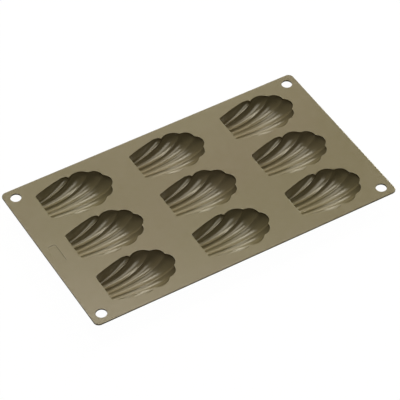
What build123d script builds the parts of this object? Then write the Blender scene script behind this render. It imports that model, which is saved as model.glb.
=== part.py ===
from build123d import *
import math
import os

# Madeleine mould: one flat silicone sheet that carries nine fluted shell cups.
# Driving dimensions, in millimetres. X runs along the long side, Y across, Z up.
sheet_length = 300.0
sheet_width = 175.0
sheet_thickness = 1.6
sheet_corner_radius = 5.0

# The four corner holes that the mould is hung or strung up by.
hole_radius = 4.9
holes_each_way_count = 2
hole_inset = 10.3

# The grid of cups: how they share out the length and width that they leave free. The
# left end takes more of the length than the right one.
column_names = ["left", "centre", "right"]
row_names = ["front", "middle", "back"]
left_end_share = 0.2605
column_gap_share = 0.2692
row_gap_share = 0.2273

# One cup, seen from above: a straight narrow end, bowed sides and a scalloped wide end.
cup_length = 67.5
cup_side_length = 30.0
narrow_end_width = 30.4
shoulder_width = 46.6
side_bow_share = 0.357

# One cup, seen from the side: how far its ridges reach below the sheet.
narrow_end_reach = 11.5
belly_reach = 16.6
throat_reach = 18.0
wide_end_reach_share = 0.907
cup_wall = 1.2
rest_flat_depth = 0.2

# The section planes fan out from the steep narrow end (tilt from upright) to the mouth.
narrow_end_tilt = 12.0
mouth_tilt = 90.0

# The corners of a section, from the side of the cup to its middle: the foot of the steep
# side wall, then the ridges between the flutes. Each has its place across and along the
# section, as shares of that section's half width and reach. A row leads from the narrow
# end to the wide end, and its two inner values pull the curve.
corner_across_shares = [
    [0.930, 0.965, 1.000, 0.985],
    [0.890, 0.640, 0.880, 0.871],
    [0.476, 0.340, 0.590, 0.738],
    [0.160, 0.157, 0.200, 0.330],
]
corner_reach_shares = [
    [0.550, 0.300, 0.155, 0.060],
    [0.755, 0.410, 0.250, 0.1735],
    [0.745, 0.868, 0.777, 0.691],
    [0.907, 0.770, 1.105, 0.970],
]

# How far the side wall and each flute bulge past the chord between their corners, as a
# share of the chord.
bulge_shares = [
    [0.03, 0.03, 0.030],
    [0.36, 0.12, 0.200],
    [0.385, 0.41, 0.222],
    [0.41, 0.50, 0.236],
    [0.235, 0.375, 0.292],
]

# Facets: sections along a cup, and flats round the side wall and round each flute.
cup_section_count = 8
inner_flat_counts = [1, 5, 5, 5, 5]
outer_flat_counts = [1, 3, 3, 3, 3]


def between(start, end, share):
    """The value that lies this share of the way from start to end."""
    return start + (end - start) * share


def curve(values, station):
    """A curve from the first value to the last one, pulled by those in between."""
    while len(values) > 1:
        values = [between(a, b, station) for a, b in zip(values, values[1:])]
    return values[0]


def half_width(station):
    """Half the mouth's width where a section starts: a line with a slight bow."""
    along = math.sin(math.radians(station * mouth_tilt))
    bowed = along * (1 + side_bow_share * (1 - along))
    return between(narrow_end_width, shoulder_width, bowed) / 2


def section_corners(station):
    """The corners of one section from side to side, as (across, reach)."""
    wide_end_reach = (cup_length - cup_side_length) * wide_end_reach_share
    reach = curve([narrow_end_reach, belly_reach, throat_reach, wide_end_reach], station)
    width = half_width(station)
    side = [(width, 0.0)]
    for across_shares, reach_shares in zip(corner_across_shares, corner_reach_shares):
        side.append((width * curve(across_shares, station), reach * curve(reach_shares, station)))
    return side + [(-across, along) for across, along in reversed(side)]


def circle_on(start, end, bulge):
    """Centre and radius of the circle whose arc bulges past a chord by a share of it."""
    (x0, y0), (x1, y1) = start, end
    half_turn = 2 * math.atan(2 * bulge)
    back = 1 / (2 * math.tan(half_turn))
    centre = ((x0 + x1) / 2 - back * (y1 - y0), (y0 + y1) / 2 + back * (x1 - x0))
    return centre, math.dist(start, end) / (2 * math.sin(half_turn))


def crossing(first, second):
    """Where two circles cross, on the outer side of the line from centre to centre."""
    ((ax, ay), a), ((bx, by), b) = first, second
    apart = math.hypot(bx - ax, by - ay)
    along = (a * a - b * b + apart * apart) / (2 * apart)
    out = math.sqrt(a * a - along * along)
    across = (ax * (apart - along) + bx * along + (by - ay) * out) / apart
    reach = (ay * (apart - along) + by * along - (bx - ax) * out) / apart
    return across, reach


def section_points(station, wall, flat_counts):
    """Points on a section's arcs, which are all moved outward by the wall."""
    corners = section_corners(station)
    bulges = [curve(shares, station) for shares in bulge_shares]
    bulges += bulges[-2::-1]
    circles = []
    for start, end, bulge in zip(corners, corners[1:], bulges):
        centre, radius = circle_on(start, end, bulge)
        circles.append((centre, radius + wall))
    (across, reach), radius = circles[0]
    edge = across + math.sqrt(radius**2 - reach**2)
    corners = [crossing(first, second) for first, second in zip(circles, circles[1:])]
    corners = [(edge, 0.0)] + corners + [(-edge, 0.0)]

    points = [corners[0]]
    flat_counts = flat_counts + flat_counts[-2::-1]
    for start, end, (centre, radius), flats in zip(corners, corners[1:], circles, flat_counts):
        (x0, y0), (x1, y1) = start, end
        half_turn = math.asin(math.dist(start, end) / (2 * radius))
        for flat in range(1, flats + 1):
            turn = half_turn * (2 * flat / flats - 1)
            along = (1 + math.sin(turn) / math.sin(half_turn)) / 2
            out = (math.cos(turn) - math.cos(half_turn)) / (2 * math.sin(half_turn))
            x = between(x0, x1, along) + out * (y1 - y0)
            y = between(y0, y1, along) - out * (x1 - x0)
            points.append((x, y))
    return points


def skin(wall, flat_counts):
    """Rows of points on one skin of a cup, a row to a section, hung below zero height."""
    rows = []
    for section in range(cup_section_count + 1):
        station = section / cup_section_count
        tilt = math.radians(between(narrow_end_tilt, mouth_tilt, station))
        hinge = cup_side_length * math.sin(math.radians(station * mouth_tilt))
        hinge -= wall * (1 - station) / math.cos(math.radians(narrow_end_tilt))
        rows.append(
            [
                Vector(hinge + reach * math.sin(tilt), across, -reach * math.cos(tilt))
                for across, reach in section_points(station, wall, flat_counts)
            ]
        )
    return rows


def rim(rows):
    """The skin's top edge, once round: a side, the scalloped end and the other side."""
    return [row[0] for row in rows] + rows[-1][1:] + [row[-1] for row in rows[-2::-1]]


def flat_face(points):
    """A flat face with straight edges between its corners."""
    return make_face(Polyline(*points, close=True)).face()


def facets(rows):
    """The skin's flat narrow end, and two triangles for each four points of its rows."""
    faces = [flat_face(rows[0])]
    for near, far in zip(rows, rows[1:]):
        for a, b, c, d in zip(near, near[1:], far[1:], far):
            if (c - a).length < (d - b).length:
                faces += [flat_face([a, b, c]), flat_face([a, c, d])]
            else:
                faces += [flat_face([a, b, d]), flat_face([b, c, d])]
    return faces


inside = skin(0, inner_flat_counts)
outside = skin(cup_wall, outer_flat_counts)
lowest = min(point.Z for row in outside for point in row)
sheet_underside = -lowest - rest_flat_depth

# One cup: its two skins, closed by the ring that meets the sheet, and cut flat below.
cup_ring = Face(flat_face(rim(outside)).outer_wire(), [flat_face(rim(inside)).outer_wire()])
cup_solid = Solid(Shell(facets(inside) + facets(outside) + [cup_ring]))
with BuildPart() as cup:
    add(cup_solid)
    split(bisect_by=Plane.XY.offset(-sheet_underside), keep=Keep.TOP)

# Where each cup's narrow end stands, with the rows of cups centred across the sheet.
free_length = sheet_length - len(column_names) * cup_length
free_width = sheet_width - len(row_names) * shoulder_width
column_pitch = cup_length + column_gap_share * free_length
row_pitch = shoulder_width + row_gap_share * free_width
cup_places = {
    (row, column): (
        -sheet_length / 2 + left_end_share * free_length + column_pitch * i,
        row_pitch * (j - (len(row_names) - 1) / 2),
    )
    for j, row in enumerate(row_names)
    for i, column in enumerate(column_names)
}

# A cup's mouth through the sheet: the bowed sides and the lobes as true arcs.
with BuildSketch() as mouth:
    with BuildLine():
        narrow_corner = (0, half_width(0))
        shoulder = (cup_side_length, half_width(1))
        middle_share = math.degrees(math.asin(1 / 2)) / mouth_tilt
        bow = (cup_side_length / 2, half_width(middle_share))
        ThreePointArc(narrow_corner, bow, shoulder)
        lobe_points = section_points(1, 0, [2] * len(bulge_shares))
        for start, top, end in zip(lobe_points[::2], lobe_points[1::2], lobe_points[2::2]):
            ThreePointArc(*[(cup_side_length + reach, across) for across, reach in (start, top, end)])
        ThreePointArc(*[(x, -y) for x, y in (shoulder, bow, narrow_corner)])
        Line((0, -half_width(0)), narrow_corner)
    make_face()

# The sheet: rounded corners, four holes and nine scalloped mouths.
with BuildPart() as sheet:
    with BuildSketch(Plane.XY.offset(sheet_underside)):
        RectangleRounded(sheet_length, sheet_width, sheet_corner_radius)
        hole_spacings = [side - 2 * hole_inset for side in (sheet_length, sheet_width)]
        with GridLocations(*hole_spacings, holes_each_way_count, holes_each_way_count):
            Circle(hole_radius, mode=Mode.SUBTRACT)
        with Locations(*cup_places.values()):
            add(mouth.sketch, mode=Mode.SUBTRACT)
    extrude(amount=sheet_thickness)

os.makedirs("parts", exist_ok=True)
sheet.part.label = "mould_sheet"
export_step(sheet.part, "parts/mould_sheet.step")

for (row, column), (x, y) in cup_places.items():
    with BuildPart() as placed_cup:
        with Locations((x, y, sheet_underside)):
            add(cup.part, clean=False)
    placed_cup.part.label = f"cup_{row}_{column}"
    export_step(placed_cup.part, f"parts/{placed_cup.part.label}.step")

print("sheet underside", round(sheet_underside, 3), "height", round(sheet_underside + sheet_thickness, 3))
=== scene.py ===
import math

import bmesh
import bpy
import numpy as np
from bpy.props import FloatProperty, FloatVectorProperty, IntProperty, PointerProperty
from mathutils import Matrix, Vector


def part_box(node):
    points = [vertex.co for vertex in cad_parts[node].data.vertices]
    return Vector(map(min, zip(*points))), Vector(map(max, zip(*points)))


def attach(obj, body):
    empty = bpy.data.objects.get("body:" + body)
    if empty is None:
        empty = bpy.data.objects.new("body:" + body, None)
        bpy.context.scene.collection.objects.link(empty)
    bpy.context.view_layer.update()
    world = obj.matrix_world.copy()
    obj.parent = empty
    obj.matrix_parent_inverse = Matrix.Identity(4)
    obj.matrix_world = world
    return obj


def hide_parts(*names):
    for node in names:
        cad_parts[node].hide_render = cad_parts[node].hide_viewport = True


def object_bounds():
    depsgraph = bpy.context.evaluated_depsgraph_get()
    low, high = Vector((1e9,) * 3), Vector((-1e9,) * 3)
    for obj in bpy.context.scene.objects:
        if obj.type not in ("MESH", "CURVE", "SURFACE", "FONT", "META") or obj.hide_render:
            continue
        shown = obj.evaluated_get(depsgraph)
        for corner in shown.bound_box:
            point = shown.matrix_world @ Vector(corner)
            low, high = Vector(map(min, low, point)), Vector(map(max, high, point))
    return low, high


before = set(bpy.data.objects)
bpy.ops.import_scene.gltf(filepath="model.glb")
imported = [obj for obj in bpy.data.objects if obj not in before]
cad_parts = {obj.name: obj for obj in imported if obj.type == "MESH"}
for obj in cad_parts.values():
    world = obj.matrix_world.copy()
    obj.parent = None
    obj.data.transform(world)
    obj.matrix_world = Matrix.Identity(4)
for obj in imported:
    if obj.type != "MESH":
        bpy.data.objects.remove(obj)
cad_low, cad_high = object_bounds()
sheet_low, sheet_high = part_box("mould_sheet")
cup_names = sorted(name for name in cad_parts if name.startswith("cup_"))

bl_info = {
    "name": "Madeleine mould",
    "version": (1, 0, 0),
    "blender": (4, 5, 0),
    "location": "3D View > Sidebar > Mould",
    "description": "A flexible silicone sheet with nine fluted shell cups",
    "category": "Add Mesh",
}

BODY = "root"

# The corners of a cup's section, from its side to its middle: the foot of the steep side
# wall, then the ridges between the flutes, as shares of the section's half width and reach.
# A row leads from the narrow end to the wide end, and its two inner values pull the curve.
CORNER_ACROSS = np.array(
    [
        (0.930, 0.965, 1.000, 0.985),
        (0.890, 0.640, 0.880, 0.871),
        (0.476, 0.340, 0.590, 0.738),
        (0.160, 0.157, 0.200, 0.330),
    ]
)
CORNER_REACH = np.array(
    [
        (0.550, 0.300, 0.155, 0.060),
        (0.755, 0.410, 0.250, 0.1735),
        (0.745, 0.868, 0.777, 0.691),
        (0.907, 0.770, 1.105, 0.970),
    ]
)

# How far the side wall and each flute bulge past the chord between their corners, as a
# share of the chord, from the narrow end to the wide end.
ARC_BULGE = np.array(
    [
        (0.03, 0.03, 0.030),
        (0.36, 0.12, 0.200),
        (0.385, 0.41, 0.222),
        (0.41, 0.50, 0.236),
        (0.235, 0.375, 0.292),
    ]
)
ARCS = 9
SIDE_BOW = 0.357
WIDE_END_REACH = 0.907

# The soft boxes: name, azimuth from +Y towards +X and elevation in degrees, how wide it looks
# from the mould in degrees, and how much light it throws on a surface that faces it.
SOFT_BOXES = (
    ("side_softbox", 60, 33, 18, 2.60),
    ("low_back_softbox", 24, 33, 18, 0.25),
    ("back_softbox", 0, 46, 18, 0.22),
    ("high_back_softbox", 30, 60, 18, 0.40),
    ("high_left_softbox", 0, 60, 18, 0.43),
    ("top_softbox", 150, 76, 28, 0.70),
)


class MouldSizes(bpy.types.PropertyGroup):
    """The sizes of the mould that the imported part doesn't state."""

    cup_length: FloatProperty(
        name="Cup length", description="From narrow end to tip", default=0.0675, unit="LENGTH"
    )
    side_length: FloatProperty(
        name="Side length", description="Length of a cup's bowed sides", default=0.030, unit="LENGTH"
    )
    narrow_width: FloatProperty(
        name="Narrow width", description="Width of the straight end", default=0.0304, unit="LENGTH"
    )
    shoulder_width: FloatProperty(
        name="Shoulder width", description="Width where the lobes start", default=0.0466, unit="LENGTH"
    )
    narrow_reach: FloatProperty(
        name="Narrow reach", description="Ridge depth at the narrow end", default=0.0115, unit="LENGTH"
    )
    belly_reach: FloatProperty(
        name="Belly reach", description="Pull of the belly on the ridges", default=0.0166, unit="LENGTH"
    )
    throat_reach: FloatProperty(
        name="Throat reach", description="Pull of the throat on the ridges",
        default=0.0180, unit="LENGTH",
    )
    wall: FloatProperty(
        name="Wall", description="Thickness of a cup's wall", default=0.0012, unit="LENGTH"
    )
    narrow_tilt: FloatProperty(
        name="Draft", description="Lean of the narrow end", default=math.radians(12), unit="ROTATION"
    )
    corner_round: FloatProperty(
        name="Cup corner", description="Radius of the narrow end's corners",
        default=0.0010, unit="LENGTH",
    )
    ridge_softness: FloatProperty(
        name="Ridge softness", description="Share of a flute that its ridge takes", default=0.06
    )
    outside_softness: FloatProperty(
        name="Outer softness", description="Share of a flute that is rounded below", default=0.15
    )
    foot_round: FloatProperty(
        name="Foot round", description="Radius at the foot of the narrow end",
        default=0.0008, unit="LENGTH",
    )
    cut_edge: FloatProperty(
        name="Cut edge", description="Rounding at the mouths and holes", default=0.00015, unit="LENGTH"
    )
    seam_ring: FloatProperty(
        name="Seam ring", description="Flat ring between a mouth and the sheet",
        default=0.0002, unit="LENGTH",
    )
    sheet_corner: FloatProperty(
        name="Sheet corner", description="Radius of the sheet's corners", default=0.005, unit="LENGTH"
    )
    sheet_edge: FloatProperty(
        name="Sheet edge", description="Rounding of the sheet's rim", default=0.0004, unit="LENGTH"
    )
    hole_radius: FloatProperty(
        name="Hole radius", description="Radius of the corner holes", default=0.0049, unit="LENGTH"
    )
    hole_inset: FloatProperty(
        name="Hole inset", description="From a hole's centre to both edges",
        default=0.0103, unit="LENGTH",
    )
    place_length: FloatProperty(
        name="Bare place length", description="Length of the bare pressed place",
        default=0.0215, unit="LENGTH",
    )
    place_width: FloatProperty(
        name="Bare place width", description="Width of the bare pressed place",
        default=0.0085, unit="LENGTH",
    )
    place_depth: FloatProperty(
        name="Bare place depth", description="Depth of the bare pressed place",
        default=0.0003, unit="LENGTH",
    )
    place_inset: FloatProperty(
        name="Bare place inset", description="From the sheet's end to its middle",
        default=0.0095, unit="LENGTH",
    )
    arc_steps: IntProperty(name="Arc steps", description="Faces across a flute", default=20)
    length_steps: IntProperty(name="Length steps", description="Faces along a cup", default=64)


class SiliconeColours(bpy.types.PropertyGroup):
    """The colours of the silicone."""

    body: FloatVectorProperty(
        name="Body", description="Colour of the silicone", subtype="COLOR", size=3,
        default=(0.186, 0.155, 0.096), min=0, max=1,
    )
    cool: FloatVectorProperty(
        name="Cool patches", description="Greener cast of some areas", subtype="COLOR", size=3,
        default=(0.180, 0.155, 0.090), min=0, max=1,
    )
    dust: FloatVectorProperty(
        name="Bloom", description="Pale bloom in the mottle", subtype="COLOR", size=3,
        default=(0.28, 0.25, 0.17), min=0, max=1,
    )


class StageLook(bpy.types.PropertyGroup):
    """The light and the camera."""

    level: FloatProperty(name="Level", description="Share of the soft boxes' light", default=1.0)
    lamp_distance: FloatProperty(
        name="Lamp distance", description="From the mould to the soft boxes", default=5.0, unit="LENGTH"
    )
    warmth: FloatVectorProperty(
        name="Lamp colour", description="Colour of the soft boxes", subtype="COLOR", size=3,
        default=(1.0, 0.95, 0.79), min=0, max=1,
    )
    fill: FloatProperty(name="Fill", description="Strength of the light all round", default=0.01)
    floor_gap: FloatProperty(
        name="Floor gap", description="From the floor to the mould", default=0.00005, unit="LENGTH"
    )
    floor_reach: FloatProperty(
        name="Floor reach", description="From the floor's middle to its sides",
        default=4.0, unit="LENGTH",
    )
    paint: FloatProperty(
        name="Floor paint", description="Share of light that the floor's paint sends back", default=0.40
    )
    glow: FloatProperty(
        name="Glow", description="Strength of the white that the camera sees", default=1.03
    )
    glow_share: FloatProperty(
        name="Glow share", description="Share of the glow over the floor's own shade", default=0.96
    )
    lens: FloatProperty(name="Lens", description="Focal length in millimetres", default=190.01)
    azimuth: FloatProperty(
        name="Azimuth", description="Turn of the camera",
        default=math.radians(-30.281), unit="ROTATION",
    )
    elevation: FloatProperty(
        name="Elevation", description="Height of the camera",
        default=math.radians(46.376), unit="ROTATION",
    )
    roll: FloatProperty(
        name="Roll", description="Tip of the camera", default=math.radians(-0.613), unit="ROTATION"
    )
    distance: FloatProperty(
        name="Distance", description="From the camera to its aim", default=1.8370, unit="LENGTH"
    )
    aim: FloatVectorProperty(
        name="Aim", description="Where the camera looks on the sheet", size=2,
        default=(-0.00367, -0.00821), unit="LENGTH",
    )


def mix(start, end, share):
    """The value that lies this share of the way from start to end."""
    return start + (end - start) * share


def curve(rows, station):
    """A Bezier curve for each row of control values: at its first value where station is 0 and
    at its last where it is 1. Neighbouring values are mixed by station until one is left."""
    values = np.moveaxis(rows, -1, 0)[:, :, *[None] * station.ndim]
    while len(values) > 1:
        values = mix(values[:-1], values[1:], station)
    return values[0]


def half_width(station, size):
    """Half the mouth's width at the hinge of a section, straight and with its corner rounded.
    It is a line from the narrow end to the shoulder, bowed by SIDE_BOW * along * (1 - along),
    where along is sin(90 degrees * station). A circle of the cup's corner radius takes
    radius * (1 - sqrt(1 - t^2)) off it, where t falls from one at the narrow end to nothing a
    radius further on."""
    along = np.sin(station * math.pi / 2)
    bowed = along * (1 + SIDE_BOW * (1 - along))
    into_corner = np.clip(1 - size.side_length * along / size.corner_round, 0, 1)
    rounded = size.corner_round * (1 - np.sqrt(1 - into_corner**2))
    straight = mix(size.narrow_width, size.shoulder_width, bowed) / 2
    return straight, straight - rounded


def section_point(station, around, wall, size):
    """The point at a place around a section, and the direction that faces into the cup there,
    both as across + 1j * reach. The section is a row of circular arcs on the chords between
    its corners. A chord c from a to b that bulges by the share s has h = 2 atan(2 s) as half
    its turn, its centre at a + c (1 + 1j / tan h) / 2 and the radius |c| / (2 sin h). The wall
    is added to each radius, and the corners move to where neighbouring circles cross."""
    width, edge = half_width(station, size)
    wide_reach = (size.cup_length - size.side_length) * WIDE_END_REACH
    reaches = np.array([(size.narrow_reach, size.belly_reach, size.throat_reach, wide_reach)])
    across, reach = curve(CORNER_ACROSS, station), curve(CORNER_REACH, station)
    corners = np.concatenate([edge[None], width * across + 1j * curve(reaches, station) * reach])
    corners = np.concatenate([corners, -corners[::-1].conj()])
    bulges = curve(ARC_BULGE, station)
    half_turn = 2 * np.arctan(2 * np.concatenate([bulges, bulges[-2::-1]]))

    chord = np.diff(corners, axis=0)
    centre = corners[:-1] + chord * (1 + 1j / np.tan(half_turn)) / 2
    radius = np.abs(chord) / (2 * np.sin(half_turn)) + wall
    apart = np.diff(centre, axis=0)
    along = (radius[:-1] ** 2 - radius[1:] ** 2 + np.abs(apart) ** 2) / (2 * np.abs(apart))
    out = np.sqrt(radius[:-1] ** 2 - along**2)
    corners[1:-1] = centre[:-1] + apart / np.abs(apart) * (along - 1j * out)
    corners[0] = centre[0].real + np.sqrt(radius[0] ** 2 - centre[0].imag ** 2)
    corners[-1] = -corners[0]

    arc = np.clip(around.astype(int), 0, ARCS - 1)[None]
    start, end = (np.take_along_axis(corners, arc + step, 0)[0] for step in (0, 1))
    centre, radius = (np.take_along_axis(rows, arc, 0)[0] for rows in (centre, radius))
    chord = end - start
    turn = np.arcsin(np.abs(chord) / (2 * radius)) * (2 * (around - arc[0]) - 1)
    inward = 1j * chord / np.abs(chord) * np.exp(1j * turn)
    return centre - radius * inward, inward


def cup_point(down, around, wall, size):
    """A cup's skin. The section planes all hold a line along Y and fan out from the narrow
    end's lean to level: down is a length that leads through them, and around counts the arcs
    from one side to the other. Below zero, down leads in over the flat narrow end instead."""
    station = np.clip(down / size.cup_length, 0, 1)
    point, inward = section_point(station, around, wall, size)
    point = point + inward * np.clip(-down, 0, None)
    reach = np.clip(point.imag, 0, None)
    hinge = size.side_length * np.sin(station * math.pi / 2)
    hinge = hinge - wall * (1 - station) / math.cos(size.narrow_tilt)
    tilt = mix(size.narrow_tilt, math.pi / 2, station)
    return np.stack([hinge + reach * np.sin(tilt), point.real, -reach * np.cos(tilt)], -1)


def cup_grid(wall, softness, size):
    """A cup's skin as a grid of points, rows down its length by columns around its arcs. Each
    point is the mean of the skin over a small window, which rounds the ridges and the foot
    and closes at the skin's own edges, so that they stay where they are."""
    foot, run = size.foot_round, size.cup_length
    narrow_end = foot * np.array([-2, -1.5, -1, -0.75, -0.5, -0.25])
    steps = np.linspace(0, 1, size.length_steps + 1)
    down = np.concatenate([narrow_end, run * steps**1.25])
    around = np.linspace(0, ARCS, ARCS * size.arc_steps + 1)
    down, around = np.meshgrid(down, around, indexing="ij")
    reach_down = np.minimum(foot, np.minimum(down - down[0, 0], run - down))
    reach_around = np.minimum(softness, np.minimum(around, ARCS - around))
    offsets = np.linspace(-1, 1, 7)
    total = 0
    for i in offsets:
        for j in offsets:
            total = total + cup_point(down + i * reach_down, around + j * reach_around, wall, size)
    return total / len(offsets) ** 2


def mouth_loop(grid):
    """The skin's top edge once round, from the straight edge's end past the side and the
    scalloped end to the other side. The straight edge closes it."""
    return np.concatenate([grid[:, 0], grid[-1, 1:], grid[-2::-1, -1]])


def outward(loop, window):
    """Level unit directions away from a closed loop's inside: each point's tangent turned by
    a right angle, averaged over its neighbours so that they don't cross at a cusp. The sign of
    the loop's area, the sum of x * next y - next x * y, says which side is the outside."""
    tangent = np.roll(loop, -1, 0) - np.roll(loop, 1, 0)
    normal = np.stack([tangent[:, 1], -tangent[:, 0], np.zeros(len(loop))], 1)
    area = np.sum(loop[:, 0] * np.roll(loop[:, 1], -1) - np.roll(loop[:, 0], -1) * loop[:, 1])
    normal *= np.sign(area)
    normal /= np.linalg.norm(normal, axis=1)[:, None]
    total = sum(np.roll(normal, shift, 0) for shift in range(-window, window + 1))
    return total / np.linalg.norm(total, axis=1)[:, None]


def carried(loop, directions, profile):
    """A profile of (out, height) pairs carried along a level loop: one ring for each pair,
    the loop moved out along its directions, at that height."""
    rings = []
    for out, height in profile:
        ring = loop + directions * out
        ring[:, 2] = height
        rings.append(ring)
    return np.stack(rings)


def quarter(centre_out, centre_height, radius, start, steps=6):
    """The points of a quarter circle from the start angle, a right angle on, in degrees."""
    angles = np.radians(np.linspace(start, start + 90, steps + 1))
    return [
        (centre_out + radius * math.cos(a), centre_height + radius * math.sin(a)) for a in angles
    ]


def grid_faces(rows, columns, first, closed):
    """Four corners of each face of a grid, as indices counted from first. A closed grid's
    last column joins its first one."""
    index = first + np.arange(rows * columns).reshape(rows, columns)
    if closed:
        index = np.concatenate([index, index[:, :1]], 1)
    corners = [index[:-1, :-1], index[:-1, 1:], index[1:, 1:], index[1:, :-1]]
    return np.stack(corners, -1).reshape(-1, 4)


def new_piece(name, grids, material, replaced, caps):
    """An object made of grids of points, each with a word on whether it closes round. Points
    that meet are joined, the open loops in the caps' planes, each given as a point and a
    normal, are filled flat, and edges of more than 35 degrees stay crisp."""
    points, faces, count = [], [], 0
    for grid, closed in grids:
        rows, columns = grid.shape[:2]
        points.append(grid.reshape(-1, 3))
        faces.append(grid_faces(rows, columns, count, closed))
        count += rows * columns
    mesh = bpy.data.meshes.new(name)
    mesh.from_pydata(np.concatenate(points), [], np.concatenate(faces).tolist())
    work = bmesh.new()
    work.from_mesh(mesh)
    bmesh.ops.remove_doubles(work, verts=work.verts, dist=1e-7)
    for point, normal in caps:
        point, normal = Vector(point), Vector(normal)
        rim = [
            edge
            for edge in work.edges
            if len(edge.link_faces) == 1
            and all(abs((corner.co - point).dot(normal)) < 1e-6 for corner in edge.verts)
        ]
        bmesh.ops.triangle_fill(work, use_beauty=True, edges=rim)
    bmesh.ops.dissolve_degenerate(work, dist=1e-8, edges=work.edges)
    bmesh.ops.recalc_face_normals(work, faces=work.faces)
    for face in work.faces:
        face.smooth = True
    work.to_mesh(mesh)
    work.free()
    mesh.set_sharp_from_angle(angle=math.radians(35))
    piece = bpy.data.objects.new(name, mesh)
    bpy.context.scene.collection.objects.link(piece)
    piece.data.materials.append(material)
    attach(piece, BODY)
    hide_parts(replaced)
    return piece


def cup_inside(size):
    """The inside grid of a cup, hung from a straight edge at the origin."""
    return cup_grid(0, size.ridge_softness, size)


def cup_outside(size):
    """The outside grid of a cup, a wall's thickness away from the inside."""
    return cup_grid(size.wall, size.outside_softness, size)


def cup_place(name, size):
    """Where a cup's straight edge stands, on the sheet's underside, from its CAD box."""
    low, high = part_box(name)
    wall_back = size.wall / math.cos(size.narrow_tilt)
    return np.array([low.x + wall_back, (low.y + high.y) / 2, sheet_low.z])


def mouth_rings(inner, place, size):
    """The loop of a mouth on the sheet's underside, and its outward directions."""
    loop = mouth_loop(inner) + place
    loop[:, 2] = sheet_low.z
    return loop, outward(loop, 4)


class Value:
    """A socket of a shader, or a number, that takes part in arithmetic by adding Math nodes."""

    def __init__(self, shader, socket):
        self.shader = shader
        self.socket = socket

    def _math(self, operation, first, second):
        """The result of a Math node on two values."""
        node = self.shader.node("ShaderNodeMath", {"operation": operation}, {0: first, 1: second})
        return Value(self.shader, node.outputs[0])

    def __add__(self, other):
        return self._math("ADD", self, other)

    def __sub__(self, other):
        return self._math("SUBTRACT", self, other)

    def __rsub__(self, other):
        return self._math("SUBTRACT", other, self)

    def __mul__(self, other):
        return self._math("MULTIPLY", self, other)

    __radd__ = __add__
    __rmul__ = __mul__


class Shader:
    """A material's node tree, with one method that adds any node."""

    def __init__(self, name):
        self.material = bpy.data.materials.new(name)
        self.material.use_nodes = True
        self.tree = self.material.node_tree
        self.tree.nodes.clear()

    def node(self, kind, settings=(), sockets=()):
        """Adds a node of this type, sets its own settings, then its sockets' values or links."""
        made = self.tree.nodes.new(kind)
        for key, value in dict(settings).items():
            setattr(made, key, value)
        for key, value in dict(sockets).items():
            if isinstance(value, Value):
                value = value.socket
            if isinstance(value, bpy.types.NodeSocket):
                self.tree.links.new(value, made.inputs[key])
            else:
                made.inputs[key].default_value = value
        return made

    def noise(self, place, scale, detail):
        """A noise value from 0 to 1 at this scale, in object coordinates."""
        sockets = {"Vector": place, "Scale": scale, "Detail": detail}
        made = self.node("ShaderNodeTexNoise", (), sockets)
        return Value(self, made.outputs["Fac"])

    def blend(self, share, first, second):
        """A colour that goes from first to second with share."""
        made = self.node("ShaderNodeMix", {"data_type": "RGBA"}, {0: share, 6: first, 7: second})
        return made.outputs[2]

    def step(self, value, low, high):
        """A smooth step from 0 to 1 as value goes from low to high."""
        made = self.node(
            "ShaderNodeMapRange",
            {"interpolation_type": "SMOOTHSTEP"},
            {"Value": value, "From Min": low, "From Max": high},
        )
        return Value(self, made.outputs["Result"])


def colour(rgb):
    """Four channels from a property's three."""
    return (*rgb, 1.0)


def silicone(colours):
    """Smooth silicone with a soft sheen: a body colour with a broad cool cast and a faint
    mottle, a roughness from 0.17 to 0.23 that follows the mottle, and a very fine grain."""
    shader = Shader("satin_silicone")
    place = shader.node("ShaderNodeTexCoord").outputs["Object"]
    broad = shader.step(shader.noise(place, 9, 2), 0.35, 0.65)
    mottle = shader.noise(place, 140, 4)
    grain = shader.noise(place, 2600, 2)
    body = shader.blend(broad, colour(colours.body), colour(colours.cool))
    body = shader.blend(mottle * 0.10, body, colour(colours.dust))
    bump = shader.node(
        "ShaderNodeBump", (), {"Strength": 0.12, "Distance": 0.0002, "Height": grain}
    )
    surface = shader.node(
        "ShaderNodeBsdfPrincipled",
        (),
        {
            "Base Color": body,
            "Roughness": 0.17 + 0.06 * mottle,
            "Specular IOR Level": 0.74,
            "IOR": 1.5,
            "Normal": bump.outputs["Normal"],
        },
    )
    shader.node("ShaderNodeOutputMaterial", (), {"Surface": surface.outputs["BSDF"]})
    return shader.material


def shared_silicone(context):
    """The one silicone material, made the first time that it is asked for."""
    return bpy.data.materials.get("satin_silicone") or silicone(context.scene.mould_colours)


def mouth_profile(size):
    """The ring that a cup adds to the sheet: its mouth's wall up to the softened edge, and
    down again where it meets the sheet."""
    top, under, edge = sheet_high.z, sheet_low.z, size.cut_edge
    seam = edge + size.seam_ring
    wall = [(0, height) for height in np.linspace(under, top - 2 * edge, 4)]
    softened = [(edge - out, height) for out, height in quarter(0, top - edge, edge, 0)]
    return [*wall, *softened, (seam, top), (seam, under)]


class MOULD_OT_cups(bpy.types.Operator):
    """Makes the nine fluted cups."""

    bl_idname = "mould.cups"
    bl_label = "Make the cups"

    def execute(self, context):
        if not cup_names:
            raise RuntimeError("the frame has no node whose name starts with cup_")
        size = context.scene.mould_sizes
        inner, outer = cup_inside(size), cup_outside(size)
        profile = mouth_profile(size)
        lean = (math.cos(size.narrow_tilt), 0, math.sin(size.narrow_tilt))
        for name in cup_names:
            place = cup_place(name, size)
            loop, directions = mouth_rings(inner, place, size)
            sides = carried(loop, directions, profile)
            below = outer + place
            below[..., 2] = np.clip(below[..., 2], cad_low.z, sheet_low.z)
            closing = np.stack([sides[-1], mouth_loop(below)])
            grids = [(inner + place, False), (sides, True), (closing, True), (below, False)]
            caps = [(place, lean), (below[0, 0], lean)]
            new_piece(f"{name}_skin", grids, shared_silicone(context), name, caps)
        return {"FINISHED"}


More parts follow.
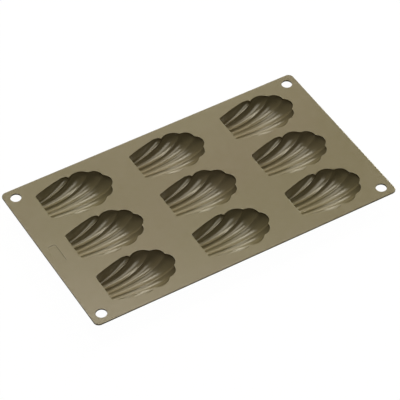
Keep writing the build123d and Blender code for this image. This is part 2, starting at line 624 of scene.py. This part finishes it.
def rounded_rectangle(length, width, radius, centre, steps=12):
    """A level loop: four quarter circles of this radius, joined by straight runs."""
    corners = []
    for turn in range(4):
        angles = np.radians(np.linspace(90 * turn, 90 * turn + 90, steps + 1))
        sign_x = 1 if turn in (0, 3) else -1
        sign_y = 1 if turn in (0, 1) else -1
        x = centre[0] + sign_x * (length / 2 - radius) + radius * np.cos(angles)
        y = centre[1] + sign_y * (width / 2 - radius) + radius * np.sin(angles)
        corners.append(np.stack([x, y, np.zeros_like(x)], 1))
    return np.concatenate(corners)


def circle(radius, centre, steps=64):
    """A level loop of this radius."""
    angles = np.linspace(0, 2 * math.pi, steps, endpoint=False)
    x = centre[0] + radius * np.cos(angles)
    y = centre[1] + radius * np.sin(angles)
    return np.stack([x, y, np.zeros(steps)], 1)


def sheet_rim(size):
    """The sheet's rim: a rounded rectangle that carries two quarter circles."""
    top, under, edge = sheet_high.z, sheet_low.z, size.sheet_edge
    length, width = (sheet_high - sheet_low).xy
    upper = quarter(-edge, top - edge, edge, 0)
    lower = quarter(-edge, under + edge, edge, -90)
    profile = [(-2 * edge, under), *lower, *upper, (-2 * edge, top)]
    middle = (sheet_low + sheet_high) / 2
    rim = rounded_rectangle(length, width, size.sheet_corner, middle)
    return carried(rim, outward(rim, 0), profile)


def corner_holes(size):
    """The walls of the four corner holes, with softened edges above and below."""
    top, under, cut = sheet_high.z, sheet_low.z, size.cut_edge
    upper = [(cut - out, height) for out, height in quarter(0, top - cut, cut, 0)]
    lower = [(cut - out, height) for out, height in quarter(0, under + cut, cut, -90)]
    profile = [(4 * cut, under), *lower, *upper, (4 * cut, top)]
    grids = []
    for x in (sheet_low.x + size.hole_inset, sheet_high.x - size.hole_inset):
        for y in (sheet_low.y + size.hole_inset, sheet_high.y - size.hole_inset):
            hole = circle(size.hole_radius, (x, y))
            grids.append(carried(hole, outward(hole, 0), profile))
    return grids


def mouth_seams(size):
    """The walls where the sheet meets the rings of the nine cups."""
    top, under = sheet_high.z, sheet_low.z
    inner = cup_inside(size)
    seam = size.cut_edge + size.seam_ring
    grids = []
    for name in cup_names:
        loop, directions = mouth_rings(inner, cup_place(name, size), size)
        grids.append(carried(loop, directions, [(seam, top), (seam, under)]))
    return grids


def bare_place(size):
    """The softened wall of the bare pressed place at the sheet's left end."""
    top, depth, soft = sheet_high.z, size.place_depth, size.place_depth / 2
    upper = [(soft - x, y) for x, y in quarter(0, top - soft, soft, 0)][::-1]
    lower = [(x - soft, y) for x, y in quarter(0, top - depth + soft, soft, -90)][::-1]
    profile = [(2 * soft, top), *upper, *lower, (-3 * soft, top - depth)]
    spot = (sheet_low.x + size.place_inset, (sheet_low.y + sheet_high.y) / 2 + soft)
    place = rounded_rectangle(size.place_width, size.place_length, size.place_width / 4, spot)
    return carried(place, outward(place, 0), profile)


class MOULD_OT_sheet(bpy.types.Operator):
    """Makes the sheet with its rounded rim, holes, mouths and bare pressed place."""

    bl_idname = "mould.sheet"
    bl_label = "Make the sheet"

    def execute(self, context):
        size = context.scene.mould_sizes
        walls = [sheet_rim(size), *corner_holes(size), *mouth_seams(size), bare_place(size)]
        heights = (sheet_high.z, sheet_low.z, sheet_high.z - size.place_depth)
        grids = [(wall, True) for wall in walls]
        caps = [((0, 0, height), (0, 0, 1)) for height in heights]
        new_piece("mould_sheet_skin", grids, shared_silicone(context), "mould_sheet", caps)
        return {"FINISHED"}


def floor_shader(look):
    """The floor's material: camera and glass rays see a white glow over a share of the shade,
    and other rays see plain matt paint."""
    shader = Shader("white_floor")
    rays = shader.node("ShaderNodeLightPath").outputs
    direct = Value(shader, rays["Is Camera Ray"]) + Value(shader, rays["Is Transmission Ray"])
    grey, white = colour([look.paint] * 3), colour([1.0] * 3)
    paint = shader.node("ShaderNodeBsdfDiffuse", (), {"Color": grey})
    glow = shader.node("ShaderNodeEmission", (), {"Color": white, "Strength": look.glow})
    share = direct * look.glow_share
    both = shader.node(
        "ShaderNodeMixShader", (), {0: share, 1: paint.outputs[0], 2: glow.outputs[0]}
    )
    shader.node("ShaderNodeOutputMaterial", (), {"Surface": both.outputs[0]})
    return shader.material


def soft_box(name, azimuth, elevation, angle, light, aim, look):
    """A square area light that faces its aim from a direction. Light falls off with distance d
    as watts / (pi d^2), so its power is light * pi * d^2, and its side is 2 d tan(angle / 2)."""
    turn, lift = math.radians(azimuth), math.radians(elevation)
    level = math.cos(lift)
    away = Vector((math.sin(turn) * level, math.cos(turn) * level, math.sin(lift)))
    lamp = bpy.data.lights.new(name, "AREA")
    lamp.shape = "SQUARE"
    lamp.size = 2 * look.lamp_distance * math.tan(math.radians(angle) / 2)
    lamp.energy = look.level * light * math.pi * look.lamp_distance**2
    lamp.color = look.warmth
    made = bpy.data.objects.new(name, lamp)
    made.location = aim + away * look.lamp_distance
    made.rotation_euler = (-away).to_track_quat("-Z", "Y").to_euler()
    bpy.context.scene.collection.objects.link(made)


def make_floor(look):
    """A level square under the mould."""
    reach, height = look.floor_reach, cad_low.z - look.floor_gap
    corners = [(-reach, -reach), (reach, -reach), (reach, reach), (-reach, reach)]
    mesh = bpy.data.meshes.new("floor")
    mesh.from_pydata([(x, y, height) for x, y in corners], [], [(0, 1, 2, 3)])
    mesh.materials.append(floor_shader(look))
    floor = bpy.data.objects.new("floor", mesh)
    bpy.context.scene.collection.objects.link(floor)


def make_world(look):
    """A faint white light all round."""
    world = bpy.data.worlds.new("studio")
    world.use_nodes = True
    background = world.node_tree.nodes["Background"]
    background.inputs["Color"].default_value = colour([1.0] * 3)
    background.inputs["Strength"].default_value = look.fill
    bpy.context.scene.world = world


def make_camera(look):
    """A long lens in front and to the left, which looks down on the sheet."""
    turn, lift = look.azimuth, look.elevation
    level = math.cos(lift)
    back = Vector((math.sin(turn) * level, -math.cos(turn) * level, math.sin(lift)))
    right = Vector((math.cos(turn), math.sin(turn), 0))
    up = back.cross(right)
    roll = Matrix.Rotation(look.roll, 3, back)
    axes = Matrix((roll @ right, roll @ up, back)).transposed()
    place = Vector((*look.aim, sheet_high.z)) + back * look.distance
    lens = bpy.data.cameras.new("camera")
    lens.lens = look.lens
    lens.sensor_width = 36.0
    lens.clip_end = 20.0
    camera = bpy.data.objects.new("camera", lens)
    camera.matrix_world = Matrix.LocRotScale(place, axes.to_quaternion(), None)
    bpy.context.scene.collection.objects.link(camera)
    bpy.context.scene.camera = camera


class MOULD_OT_stage(bpy.types.Operator):
    """Makes the floor, the studio light and the camera."""

    bl_idname = "mould.stage"
    bl_label = "Make the stage"

    def execute(self, context):
        look = context.scene.mould_stage
        make_floor(look)
        make_world(look)
        top = Vector((0, 0, sheet_high.z))
        for name, azimuth, elevation, angle, light in SOFT_BOXES:
            soft_box(name, azimuth, elevation, angle, light, top, look)
        make_camera(look)
        context.scene.view_settings.view_transform = "Standard"
        return {"FINISHED"}


class MOULD_PT_panel(bpy.types.Panel):
    """Lists the operators and the sizes of the mould."""

    bl_label = "Madeleine mould"
    bl_idname = "MOULD_PT_panel"
    bl_space_type = "VIEW_3D"
    bl_region_type = "UI"
    bl_category = "Mould"

    def draw(self, context):
        scene = context.scene
        for operator in OPERATORS:
            self.layout.operator(operator.bl_idname)
        for group in (scene.mould_sizes, scene.mould_colours, scene.mould_stage):
            for key in group.__annotations__:
                self.layout.prop(group, key)


OPERATORS = (MOULD_OT_sheet, MOULD_OT_cups, MOULD_OT_stage)
CLASSES = (MouldSizes, SiliconeColours, StageLook, *OPERATORS, MOULD_PT_panel)


def register():
    """Registers the classes, and hangs the three groups of settings on the scene."""
    for made in CLASSES:
        bpy.utils.register_class(made)
    bpy.types.Scene.mould_sizes = PointerProperty(type=MouldSizes)
    bpy.types.Scene.mould_colours = PointerProperty(type=SiliconeColours)
    bpy.types.Scene.mould_stage = PointerProperty(type=StageLook)


def unregister():
    """Takes the settings and the classes away again."""
    del bpy.types.Scene.mould_stage
    del bpy.types.Scene.mould_colours
    del bpy.types.Scene.mould_sizes
    for made in reversed(CLASSES):
        bpy.utils.unregister_class(made)


def main():
    register()
    bpy.ops.mould.sheet()
    bpy.ops.mould.cups()
    bpy.ops.mould.stage()


if __name__ == "__main__":
    main()
